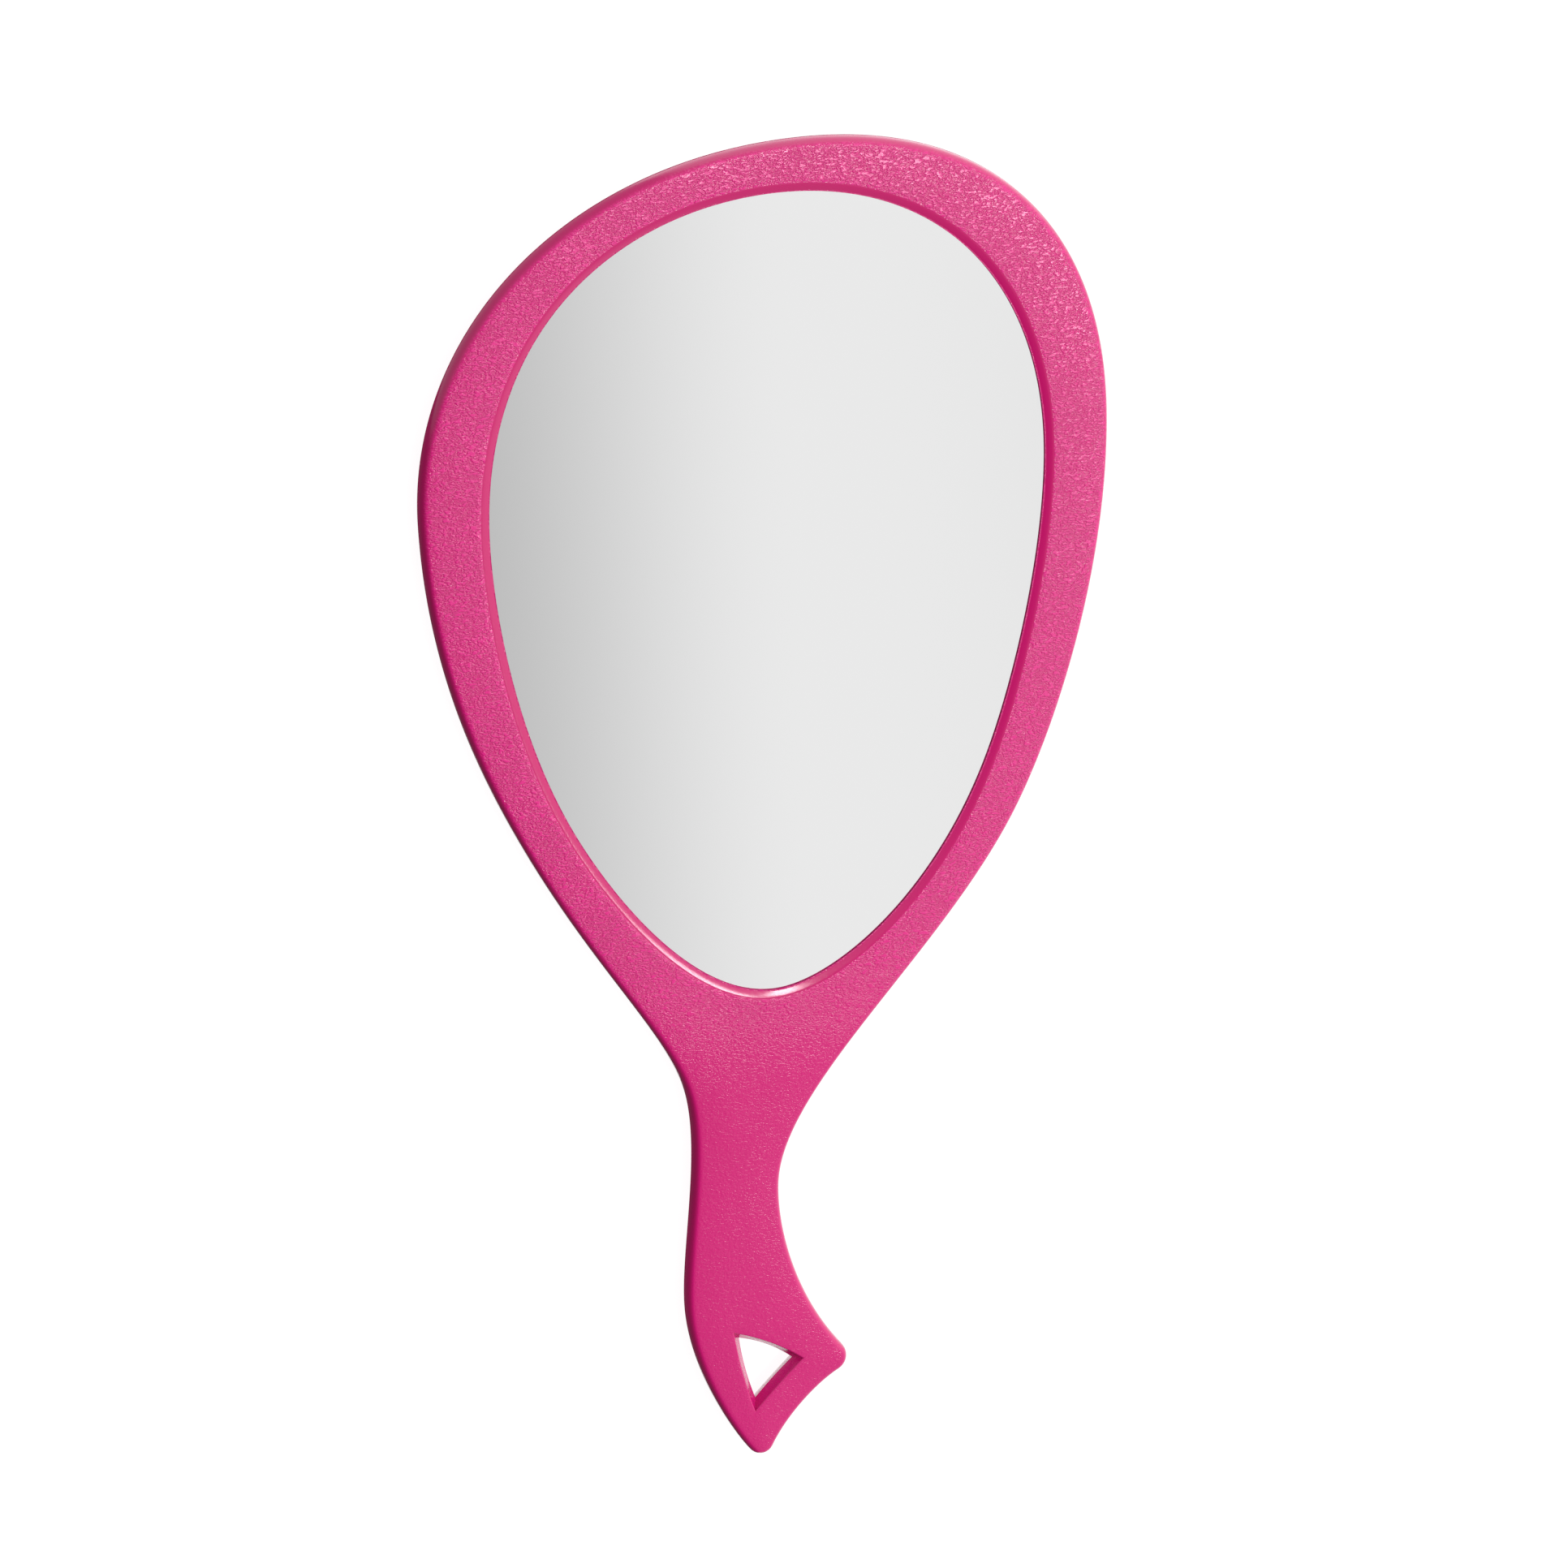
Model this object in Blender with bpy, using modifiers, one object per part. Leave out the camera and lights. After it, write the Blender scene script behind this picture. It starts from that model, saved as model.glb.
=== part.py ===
"""Hand mirror for a hair salon, lying on its back with the glass facing up.

Two moulded shells meet half way through the thickness. The front frame laps over the
edge of a teardrop glass, and the rear cover closes the back and the hollow handle.
All driving dimensions are in millimetres and are turned into metres as meshes are made.
The origin is under the middle of the outline, on the surface that the mirror lies on:
+X runs across the glass, +Y from the handle to the top of the head, +Z out of the glass.
"""

import math

import bmesh
import bpy
import numpy as np
from mathutils import Matrix, Vector, geometry

MM = 0.001

# Heights above the surface that the mirror lies on.
THICKNESS = 6.0
PARTING_HEIGHT = 3.0
PARTING_GAP = 0.3
COVER_FLOOR = 1.5
FRAME_SKIN_UNDERSIDE = 4.0
TONGUE_TOP = 3.7
SEAT_WALL_BOTTOM = 1.8
GLASS_POCKET_TOP = 5.35
LIP_BEVEL_BOTTOM = 5.6

# The layers in the head, each as (lowest, highest).
TAPE_HEIGHTS = (1.65, 2.6)
FILM_HEIGHTS = (2.75, 2.85)
SILVER_HEIGHTS = (2.95, 3.05)
GLASS_HEIGHTS = (3.2, 5.2)

# Walls and edges.
FRAME_WALL = 2.0
TONGUE_CLEARANCE = 0.3
TONGUE_THICKNESS = 1.0
FRONT_EDGE_HEIGHT = 3.8
FRONT_EDGE_DEPTH = 1.4
BACK_EDGE_HEIGHT = 2.7
BACK_EDGE_DEPTH = 2.2
LIP_BEVEL_WIDTH = 1.7
LIP_OVERLAP = 3.0
GLASS_CLEARANCE = 0.4
SEAT_WALL = 1.2
GLASS_SEAM = 0.3

# How far the features of the frame are sunk into the skin that carries them.
SEAT_WALL_ROOT = 0.4
COLLAR_ROOT = 0.7
BOSS_ROOT = 0.3

# Where the features of the cover start and stop, and where the frame's recesses start.
TONGUE_ROOT = 1.0
COVER_COLLAR_TOP = 2.8
HOLLOW_BOTTOM = 1.0
POCKET_BOTTOM = 0.8

# How far a cutter reaches past the surface that it opens, and less for the wide bevel.
CUTTER_REACH = 1.0
BEVEL_CUTTER_REACH = 0.4

# Outline of the mirror, clockwise from the top of the head. Each anchor is
# (x, y, heading in degrees, reach before, reach after).
HEAD_TOP = (2.5, 150.0, 0, 46, 47)
HEAD_RIGHT = (74.5, 80.0, -90, 41.5, 34.5)
FLANK_RIGHT = (51.6, -7.6, -120, 20.5, 34)
GRIP_RIGHT = (-4.5, -82.7, -97.5, 22.5, 8)
GRIP_LEFT_LOW = (-26.8, -110.0, 91, 16, 14)
GRIP_LEFT_HIGH = (-24.7, -57.0, 104.5, 15.5, 14)
FLANK_LEFT = (-56.1, 4.3, 114.5, 32.5, 21.5)
HEAD_LEFT = (-74.5, 81.5, 90, 32, 39)

# The two rounded tips of the fish tail: centre, radius, headings in and out,
# and the reach of the curves that arrive and leave.
RIGHT_TIP = ((5.6, -130.0), 3.6, -55, -156, 21.5, 6)
LOWER_TIP = ((-11.3, -147.0), 3.0, -118, -235, 7, 6)

# Edge of the visible glass, clockwise from its top.
GLASS_ANCHORS = [
    (-1.0, 140.0, 0, 32, 36),
    (60.0, 75.0, -90, 39, 21.5),
    (44.5, 5.0, -114, 19.5, 31.5),
    (-2.5, -37.5, 180, 12.5, 19),
    (-45.0, 5.5, 116, 14, 27.5),
    (-60.5, 75.5, 90, 16, 44),
]

# Hanging hole: corners of its narrowest section, clockwise, and how far each side that
# starts at a corner bows outwards. It opens towards the front and more towards the back.
HOLE_CORNERS = [(-15.2, -120.3), (-3.3, -128.0), (-12.1, -136.0)]
HOLE_BOWS = [0.8, -0.2, 0.4]
HOLE_WAIST = 4.0
HOLE_FRONT_GROWTH = 1.15
HOLE_BACK_GROWTH = 2.2
HOLE_COLLAR = 3.2
HOLE_SIDE_STEPS = 6

# Bosses moulded on the frame and the cover's pegs that press into them.
HEAD_PEGS = [(67.5, 84), (65.3, 48), (55.5, 16), (54.5, 121), (-67.5, 84), (-64.3, 44.5), (-52.5, 122)]
NECK_PEGS = [(-6.0, -49), (-13.0, -76), (-14.5, -104)]
BOSS_RADIUS = 2.2
BOSS_BOTTOM = 2.0
BORE_RADIUS = 1.3
BORE_HEIGHTS = (1.2, 3.9)
PEG_RADIUS = 1.0
PEG_TOP = 3.6
PEG_SIDES = 16

# Stiffening ribs under the skin of the handle: one along it and short ones across it.
RIB_THICKNESS = 1.2
RIB_BOTTOM = 1.9
RIB_STEP = 0.05
SPINE = [(-5.0, -45.0), (-13.0, -76.0), (-14.5, -112.0)]
CROSS_RIBS = [(-7.7, -58, 24), (-10.9, -67, 17), (-14.9, -87, 12), (-15.1, -96, 13)]

# Strips of foam tape that hold the backed glass to the cover: centres and size.
TAPE_CENTRES = [(-30, 108), (30, 108), (-31, 64), (31, 64), (-22, 20), (22, 20)]
TAPE_SIZE = (34, 12)

# Longest step along a curved outline, and fewest steps between two anchors.
PATH_STEP = 5.0
FEWEST_STEPS = 5

# A shifted point is kept while its distance from the path is at least this share of the shift.
KEPT_SHARE = 0.97

# Points closer together than this are one point.
TOUCHING = 0.01

# Steps of the rounded edges, from the side of each shell to its flat face.
FRONT_EDGE_STEPS = 4
BACK_EDGE_STEPS = 4

PINK = (0.62, 0.055, 0.215, 1.0)
GLASS_TINT = (0.93, 0.96, 0.95, 1.0)
SILVER = (0.86, 0.87, 0.88, 1.0)
FILM_WHITE = (0.75, 0.76, 0.78, 1.0)
TAPE_WHITE = (0.82, 0.81, 0.78, 1.0)


def clear_scene():
    for obj in list(bpy.data.objects):
        bpy.data.objects.remove(obj, do_unlink=True)


def new_collection(name):
    collection = bpy.data.collections.new(name)
    bpy.context.scene.collection.children.link(collection)
    return collection


def make_material(name, colour, roughness, metallic=0.0, transmission=0.0):
    material = bpy.data.materials.new(name)
    material.use_nodes = True
    shader = material.node_tree.nodes["Principled BSDF"]
    shader.inputs["Base Color"].default_value = colour
    shader.inputs["Roughness"].default_value = roughness
    shader.inputs["Metallic"].default_value = metallic
    shader.inputs["Transmission Weight"].default_value = transmission
    material.diffuse_color = colour
    return material


# ---- outlines -------------------------------------------------------------------------


def direction(heading):
    return Vector((math.cos(math.radians(heading)), math.sin(math.radians(heading))))


def smooth_path(anchors):
    """Points along the closed curve through the anchors, in millimetres."""
    points = []
    for here, there in zip(anchors, anchors[1:] + anchors[:1]):
        start = Vector(here[:2])
        end = Vector(there[:2])
        leave = start + direction(here[2]) * here[4]
        arrive = end - direction(there[2]) * there[3]
        steps = max(FEWEST_STEPS, math.ceil((end - start).length / PATH_STEP))
        points += geometry.interpolate_bezier(start, leave, arrive, end, steps + 1)[:-1]
    return np.array([point[:2] for point in points])


def rounded_tip(tip):
    """The two anchors at the ends of a tip's arc, which turns to the right."""
    centre, radius, heading_in, heading_out, reach_in, reach_out = tip
    arc_reach = 4 / 3 * math.tan(math.radians(heading_in - heading_out) / 4) * radius
    first = Vector(centre) + direction(heading_in + 90) * radius
    last = Vector(centre) + direction(heading_out + 90) * radius
    return [
        (first.x, first.y, heading_in, reach_in, arc_reach),
        (last.x, last.y, heading_out, arc_reach, reach_out),
    ]


def mirror_outline():
    tips = rounded_tip(RIGHT_TIP) + rounded_tip(LOWER_TIP)
    right = [HEAD_TOP, HEAD_RIGHT, FLANK_RIGHT, GRIP_RIGHT]
    left = [GRIP_LEFT_LOW, GRIP_LEFT_HIGH, FLANK_LEFT, HEAD_LEFT]
    return smooth_path(right + tips + left)


def shifted(path, distance):
    """Every point of the clockwise path moved inwards by distance, outwards if negative."""
    run = np.roll(path, -1, axis=0) - path
    run /= np.linalg.norm(run, axis=1)[:, None]
    ahead = run + np.roll(run, 1, axis=0)
    ahead /= np.linalg.norm(ahead, axis=1)[:, None]
    return path + distance * np.stack([ahead[:, 1], -ahead[:, 0]], axis=1)


def inset(path, distance):
    """The shifted path without the points that land too close to it in tight corners."""
    moved = shifted(path, distance)
    side = np.roll(path, -1, axis=0) - path
    offset = moved[:, None] - path[None]
    along = np.clip((offset * side).sum(2) / (side**2).sum(1), 0, 1)
    gap = np.linalg.norm(offset - along[..., None] * side, axis=2).min(axis=1)
    return moved[gap > abs(distance) * KEPT_SHARE]


def hanging_hole(growth):
    """The bowed triangle with each side moved outwards by growth."""
    corners = [Vector(corner) for corner in HOLE_CORNERS]
    outwards = []
    for here, there in zip(corners, corners[1:] + corners[:1]):
        run = (there - here).normalized()
        outwards.append(Vector((-run.y, run.x)))
    grown = []
    for number, corner in enumerate(corners):
        before, after = outwards[number - 1], outwards[number]
        grown.append(corner + (before + after) * growth / (1 + before.dot(after)))
    points = []
    for number, bow in enumerate(HOLE_BOWS):
        start, end = grown[number], grown[(number + 1) % len(grown)]
        for step in range(HOLE_SIDE_STEPS):
            part = step / HOLE_SIDE_STEPS
            swell = outwards[number] * bow * 4 * part * (1 - part)
            points.append(start.lerp(end, part) + swell)
    return np.array([point[:] for point in points])


# ---- meshes ---------------------------------------------------------------------------


def slab(name, paths, heights, collection):
    """Filled outline between two heights. A second path inside the first is a hole."""
    low, high = heights
    curve = bpy.data.curves.new(name, "CURVE")
    curve.dimensions = "2D"
    curve.fill_mode = "BOTH"
    curve.extrude = (high - low) / 2 * MM
    for path in paths:
        spline = curve.splines.new("POLY")
        spline.points.add(len(path) - 1)
        for point, (x, y) in zip(spline.points, path):
            point.co = (x * MM, y * MM, 0, 1)
        spline.use_cyclic_u = True
    pattern = bpy.data.objects.new(name + "_pattern", curve)
    pattern.location.z = (low + high) / 2 * MM
    collection.objects.link(pattern)
    bpy.context.view_layer.update()
    evaluated = pattern.evaluated_get(bpy.context.evaluated_depsgraph_get())
    mesh = bpy.data.meshes.new_from_object(evaluated)
    mesh.name = name
    form = bmesh.new()
    form.from_mesh(mesh)
    bmesh.ops.remove_doubles(form, verts=form.verts, dist=TOUCHING * MM)
    bmesh.ops.recalc_face_normals(form, faces=form.faces)
    form.to_mesh(mesh)
    form.free()
    obj = bpy.data.objects.new(name, mesh)
    obj.matrix_world = pattern.matrix_world
    collection.objects.link(obj)
    bpy.data.objects.remove(pattern)
    bpy.data.curves.remove(curve)
    return obj


def object_from(form, name, collection):
    mesh = bpy.data.meshes.new(name)
    bmesh.ops.recalc_face_normals(form, faces=form.faces)
    form.to_mesh(mesh)
    form.free()
    obj = bpy.data.objects.new(name, mesh)
    collection.objects.link(obj)
    return obj


def funnel(name, sections, collection):
    """Closed loft through sections, each (path, height), that have equally many points."""
    form = bmesh.new()
    rings = []
    for path, height in sections:
        rings.append([form.verts.new((x * MM, y * MM, height * MM)) for x, y in path])
    for lower, upper in zip(rings, rings[1:]):
        for i in range(len(lower)):
            form.faces.new((lower[i - 1], lower[i], upper[i], upper[i - 1]))
    form.faces.new(rings[0])
    form.faces.new(rings[-1])
    return object_from(form, name, collection)


def edge_sections(path, edge_height, face_height, depth, steps):
    """Sections of a quarter round from the side of a slab to its flat face."""
    sections = []
    for step in range(steps + 1):
        turn = math.pi / 2 * step / steps
        height = edge_height + (face_height - edge_height) * math.sin(turn)
        sections.append((shifted(path, depth * (1 - math.cos(turn))), height))
    return sections


def posts(name, centres, radius, heights, collection):
    """Upright round posts, as separate bodies of one object."""
    low, high = heights
    form = bmesh.new()
    for x, y in centres:
        place = Matrix.Translation((x * MM, y * MM, (low + high) / 2 * MM))
        bmesh.ops.create_cone(
            form, cap_ends=True, segments=PEG_SIDES, radius1=radius * MM,
            radius2=radius * MM, depth=(high - low) * MM, matrix=place,
        )
    return object_from(form, name, collection)


def block(name, centre, size, heights, turn, collection):
    """Box with a length along X before it is turned about Z."""
    low, high = heights
    place = Matrix.Translation((centre[0] * MM, centre[1] * MM, (low + high) / 2 * MM))
    spin = Matrix.Rotation(turn, 4, "Z")
    scale = Matrix.Diagonal((size[0] * MM, size[1] * MM, (high - low) * MM, 1))
    form = bmesh.new()
    bmesh.ops.create_cube(form, size=1, matrix=place @ spin @ scale)
    return object_from(form, name, collection)


def seam_top_edge(obj, height, width):
    """Flat narrow chamfer along the edge of the object's upper face."""
    mesh = obj.data
    level = height * MM - obj.location.z
    weights = mesh.attributes.new("bevel_weight_edge", "FLOAT", "EDGE")
    for edge in mesh.edges:
        ends = [mesh.vertices[number].co for number in edge.vertices]
        raised = all(abs(end.z - level) < TOUCHING * MM for end in ends)
        weights.data[edge.index].value = 1.0 if raised and on_rim(mesh, edge) else 0.0
    modifier = obj.modifiers.new("seamed edge", "BEVEL")
    modifier.limit_method = "WEIGHT"
    modifier.width = width * MM
    modifier.segments = 1


def on_rim(mesh, edge):
    """True where the edge joins a flat face to a side face."""
    ends = set(edge.vertices)
    slopes = [abs(face.normal.z) for face in mesh.polygons if ends <= set(face.vertices)]
    return max(slopes) - min(slopes) > 0.5


def combine(obj, tool, operation):
    modifier = obj.modifiers.new(tool.name, "BOOLEAN")
    modifier.operation = operation
    modifier.solver = "EXACT"
    modifier.object = tool


def finish(obj, material):
    obj.data.materials.clear()
    obj.data.materials.append(material)
    obj.data.shade_smooth()
    obj.data.set_sharp_from_angle(angle=math.radians(30))


def hide_tools(collection):
    for tool in collection.objects:
        tool.hide_render = True
        tool.display_type = "WIRE"


# ---- pieces ---------------------------------------------------------------------------


def hole_cutter(tools):
    """Hanging hole: opens a little to the front of its waist and more to the back."""
    below, above = -CUTTER_REACH, THICKNESS + CUTTER_REACH
    back_slope = HOLE_BACK_GROWTH / HOLE_WAIST
    front_slope = HOLE_FRONT_GROWTH / (THICKNESS - HOLE_WAIST)
    sections = [
        (hanging_hole(back_slope * (HOLE_WAIST - below)), below),
        (hanging_hole(0), HOLE_WAIST),
        (hanging_hole(front_slope * (above - HOLE_WAIST)), above),
    ]
    return funnel("hanging_hole", sections, tools)


def lip_cutter(glass_edge, tools):
    """Opening over the glass, with the smooth bevel of the lip round it."""
    slope = LIP_BEVEL_WIDTH / (THICKNESS - LIP_BEVEL_BOTTOM)
    below = FRAME_SKIN_UNDERSIDE - CUTTER_REACH
    above = THICKNESS + BEVEL_CUTTER_REACH
    sections = [
        (glass_edge, below),
        (glass_edge, LIP_BEVEL_BOTTOM),
        (shifted(glass_edge, -slope * (above - LIP_BEVEL_BOTTOM)), above),
    ]
    return funnel("lip_opening", sections, tools)


def handle_ribs(tools):
    """The spine, run by run, and the ribs across it, each a little shallower than the last."""
    ribs = []
    depth = RIB_BOTTOM
    for start, end in zip(SPINE, SPINE[1:]):
        run = Vector(end) - Vector(start)
        middle = Vector(start).lerp(Vector(end), 0.5)
        heights = (depth, FRAME_SKIN_UNDERSIDE + depth / 4)
        turn = math.atan2(run.y, run.x)
        ribs.append(block("spine_rib", middle, (run.length, RIB_THICKNESS), heights, turn, tools))
        depth += RIB_STEP
    for x, y, length in CROSS_RIBS:
        heights = (depth, FRAME_SKIN_UNDERSIDE + depth / 4)
        ribs.append(block("cross_rib", (x, y), (length, RIB_THICKNESS), heights, 0, tools))
    return ribs


def front_frame(outline, glass_edge, model, tools):
    """Front half: the rim with its lip over the glass, and the front of the handle."""
    bottom = PARTING_HEIGHT + PARTING_GAP / 2
    edge = (FRONT_EDGE_HEIGHT, THICKNESS, FRONT_EDGE_DEPTH, FRONT_EDGE_STEPS)
    rounded = edge_sections(outline, *edge)
    frame = funnel("front_frame", [(outline, bottom)] + rounded, model)
    hollow_heights = (HOLLOW_BOTTOM, FRAME_SKIN_UNDERSIDE)
    hollow = slab("frame_hollow", [inset(outline, FRAME_WALL)], hollow_heights, tools)
    seat_reach = LIP_OVERLAP + GLASS_CLEARANCE
    seat_heights = (SEAT_WALL_BOTTOM, FRAME_SKIN_UNDERSIDE + SEAT_WALL_ROOT)
    seat = slab("seat_wall", [inset(glass_edge, -seat_reach - SEAT_WALL)], seat_heights, tools)
    pocket_heights = (POCKET_BOTTOM, GLASS_POCKET_TOP)
    pocket = slab("glass_pocket", [inset(glass_edge, -seat_reach)], pocket_heights, tools)
    collar_heights = (bottom, FRAME_SKIN_UNDERSIDE + COLLAR_ROOT)
    collar = slab("frame_collar", [inset(hanging_hole(0), -HOLE_COLLAR)], collar_heights, tools)
    pegs = HEAD_PEGS + NECK_PEGS
    boss_heights = (BOSS_BOTTOM, FRAME_SKIN_UNDERSIDE + BOSS_ROOT)
    bosses = posts("bosses", pegs, BOSS_RADIUS, boss_heights, tools)
    bores = posts("boss_bores", pegs, BORE_RADIUS, BORE_HEIGHTS, tools)
    combine(frame, hollow, "DIFFERENCE")
    for feature in [seat, collar, *handle_ribs(tools), bosses]:
        combine(frame, feature, "UNION")
    for cutter in [pocket, lip_cutter(glass_edge, tools), bores, hole_cutter(tools)]:
        combine(frame, cutter, "DIFFERENCE")
    finish(frame, make_material("frame_pink", PINK, 0.4))
    return frame


def rear_cover(outline, model, tools):
    """Back half: a shallow tray with a tongue that fits inside the frame's wall."""
    top = PARTING_HEIGHT - PARTING_GAP / 2
    rounded = edge_sections(outline, BACK_EDGE_HEIGHT, 0.0, BACK_EDGE_DEPTH, BACK_EDGE_STEPS)
    cover = funnel("rear_cover", [(outline, top)] + rounded, model)
    tongue_inset = FRAME_WALL + TONGUE_CLEARANCE
    tongue_heights = (TONGUE_ROOT, TONGUE_TOP)
    tongue = slab("cover_tongue", [inset(outline, tongue_inset)], tongue_heights, tools)
    tray_path = inset(outline, tongue_inset + TONGUE_THICKNESS)
    tray = slab("cover_tray", [tray_path], (COVER_FLOOR, TONGUE_TOP + CUTTER_REACH), tools)
    collar_path = inset(hanging_hole(0), -HOLE_COLLAR)
    collar_heights = (COVER_FLOOR / 2, COVER_COLLAR_TOP)
    collar = slab("cover_collar", [collar_path], collar_heights, tools)
    pegs = posts("pegs", HEAD_PEGS + NECK_PEGS, PEG_RADIUS, (COVER_FLOOR / 2, PEG_TOP), tools)
    combine(cover, tongue, "UNION")
    combine(cover, tray, "DIFFERENCE")
    combine(cover, collar, "UNION")
    combine(cover, pegs, "UNION")
    combine(cover, hole_cutter(tools), "DIFFERENCE")
    finish(cover, make_material("cover_pink", PINK, 0.45))
    return cover


def mirror_glass(glass_edge, model):
    glass = slab("mirror_glass", [inset(glass_edge, -LIP_OVERLAP)], GLASS_HEIGHTS, model)
    seam_top_edge(glass, GLASS_HEIGHTS[1], GLASS_SEAM)
    finish(glass, make_material("clear_glass", GLASS_TINT, 0.02, transmission=1.0))


def backing_layers(glass_edge, model):
    """Silvered coating behind the glass, and the film that holds splinters together."""
    path = inset(glass_edge, -LIP_OVERLAP)
    silver = slab("silver_coating", [path], SILVER_HEIGHTS, model)
    finish(silver, make_material("mirror_silver", SILVER, 0.03, metallic=1.0))
    film = slab("safety_film", [path], FILM_HEIGHTS, model)
    finish(film, make_material("film_white", FILM_WHITE, 0.5))


def foam_tapes(model):
    material = make_material("tape_foam", TAPE_WHITE, 0.9)
    for number, centre in enumerate(TAPE_CENTRES, start=1):
        strip = block(f"foam_tape_{number}", centre, TAPE_SIZE, TAPE_HEIGHTS, 0, model)
        finish(strip, material)


def build():
    clear_scene()
    model = new_collection("hand_mirror")
    tools = new_collection("cutters")
    outline = mirror_outline()
    glass_edge = smooth_path(GLASS_ANCHORS)
    front_frame(outline, glass_edge, model, tools)
    rear_cover(outline, model, tools)
    mirror_glass(glass_edge, model)
    backing_layers(glass_edge, model)
    foam_tapes(model)
    hide_tools(tools)


build()
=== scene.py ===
"""Looks of the hand mirror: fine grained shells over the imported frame, on a pale floor.

The mirror lies on its back on the floor with the glass up. The two moulded shells are
made again here as fine meshes with a softly crowned face, rounded edges and a leather
grain. The glass and the layers behind it stay as packed and get new materials. The
glass is drawn as silver with a clear coat.
Lengths are in millimetres until a mesh is made.
"""
import math

import bmesh
import bpy
import numpy as np
from mathutils import Matrix, Vector, geometry


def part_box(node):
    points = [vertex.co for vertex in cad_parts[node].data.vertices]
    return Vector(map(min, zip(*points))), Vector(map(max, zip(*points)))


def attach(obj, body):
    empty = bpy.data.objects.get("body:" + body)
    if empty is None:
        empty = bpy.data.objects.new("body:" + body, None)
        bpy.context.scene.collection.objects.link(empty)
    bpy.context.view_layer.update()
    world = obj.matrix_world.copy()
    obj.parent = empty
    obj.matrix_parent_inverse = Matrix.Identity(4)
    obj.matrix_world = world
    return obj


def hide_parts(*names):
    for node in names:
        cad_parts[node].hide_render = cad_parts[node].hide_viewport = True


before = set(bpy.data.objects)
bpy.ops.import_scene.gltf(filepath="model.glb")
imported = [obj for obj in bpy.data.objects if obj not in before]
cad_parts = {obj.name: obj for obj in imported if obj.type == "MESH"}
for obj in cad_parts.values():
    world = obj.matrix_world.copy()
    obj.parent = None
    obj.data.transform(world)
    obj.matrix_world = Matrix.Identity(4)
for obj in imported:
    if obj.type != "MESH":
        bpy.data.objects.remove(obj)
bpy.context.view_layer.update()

MM = 0.001

# Heights above the floor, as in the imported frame.
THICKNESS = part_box("front_frame")[1].z / MM
FRAME_BOTTOM = 3.15
COVER_TOP = 2.85
SKIN_UNDERSIDE = 4.0
TONGUE_TOP = 3.7
COVER_FLOOR = 1.5
POCKET_TOP = 5.35
LIP_BOTTOM = 5.6

# Sections of the shells.
WALL = 2.0
TONGUE_OFFSET = 2.3
TONGUE_THICKNESS = 1.0
EDGE_DEPTH = 1.2
EDGE_DROP = 2.0
CROWN = 0.35
CROWN_WIDTH = 9.0
LIP_BEVEL = 1.7
LIP_ROUND = 0.25
POCKET_OFFSET = 3.4
FACE_MARGIN = 2.4
BACK_TAPER = (1.9, 0.5)
BACK_EDGE_DEPTH = 2.5
HOLE_WAIST = 4.0
HOLE_FRONT_GROWTH = 1.15
HOLE_BACK_GROWTH = 2.2
HOLE_ROUND = 0.3
HOLE_BRIM = 1.2
HOLE_BACK_BRIM = 0.4
HOLE_COLLAR = 3.2
COLLAR_DROP = 0.05

# Grain of the surfaces: leather on the faces, polished on the lip, matte where hidden.
POLISHED = 0.0
BACK_EDGE_GRAIN = 0.3
CREST_GRAIN = 0.4
HOLE_GRAIN = 0.5
LEATHER = 1.0
MATTE = 2.0
FACE_GRAINS = [(0.5, 0.85), (0.85, LEATHER), (LEATHER, LEATHER)]

# Outline, clockwise from the top of the head: (x, y, heading, reach before, reach after).
HEAD_TOP = (2.5, 150.0, 0, 46, 47)
HEAD_RIGHT = (74.5, 80.0, -90, 41.5, 34.5)
FLANK_RIGHT = (51.6, -7.6, -120, 20.5, 34)
GRIP_RIGHT = (-4.5, -82.7, -97.5, 22.5, 8)
GRIP_LEFT_LOW = (-26.8, -110.0, 91, 16, 14)
GRIP_LEFT_HIGH = (-24.7, -57.0, 104.5, 15.5, 14)
FLANK_LEFT = (-56.1, 4.3, 114.5, 32.5, 21.5)
HEAD_LEFT = (-74.5, 81.5, 90, 32, 39)
RIGHT_TIP = ((5.6, -130.0), 3.6, -55, -156, 21.5, 6)
LOWER_TIP = ((-11.3, -147.0), 3.0, -118, -235, 7, 6)

# Edge of the visible glass, clockwise from its top.
GLASS_ANCHORS = [
    (-1.0, 140.0, 0, 32, 36),
    (60.0, 75.0, -90, 39, 21.5),
    (44.5, 5.0, -114, 19.5, 31.5),
    (-2.5, -37.5, 180, 12.5, 19),
    (-45.0, 5.5, 116, 14, 27.5),
    (-60.5, 75.5, 90, 16, 44),
]

HOLE_CORNERS = [(-15.2, -120.3), (-3.3, -128.0), (-12.1, -136.0)]
HOLE_BOWS = [0.8, -0.2, 0.4]
HOLE_SIDE_STEPS = 14

# Fineness of the meshes.
OUTLINE_STEP = 1.0
FEWEST_STEPS = 8
LATTICE = 1.7
ROUND_STEPS = 8
TOUCHING = 0.0001
MERGE = 0.000002
SHARP = math.radians(32)

# Camera: where it looks, how far off, how it is turned, and how wide it sees.
AIM = Vector((-0.0003, 0.0100, 0.006))
CAMERA_DISTANCE = 1.4
CAMERA_YAW = math.radians(20)
CAMERA_PITCH = math.radians(26)
CAMERA_ROLL = math.radians(-2.4)
LENS = 155.3
SENSOR = 36.0

FLOOR_SIZE = 8.0
FLOOR_DROP = 0.0002
FLOOR_GLOW = 0.90

# Lamps: direction from the mirror, distance, size, power in watts, and whether it shades.
KEY_LAMP = ((0.58, -0.24, 1.0), 1.2, (0.17, 0.28), 3.1, False)
WINDOW_LAMP = ((0.31, 0.03, 1.0), 1.2, (0.26, 0.20), 4.2, True)

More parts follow.
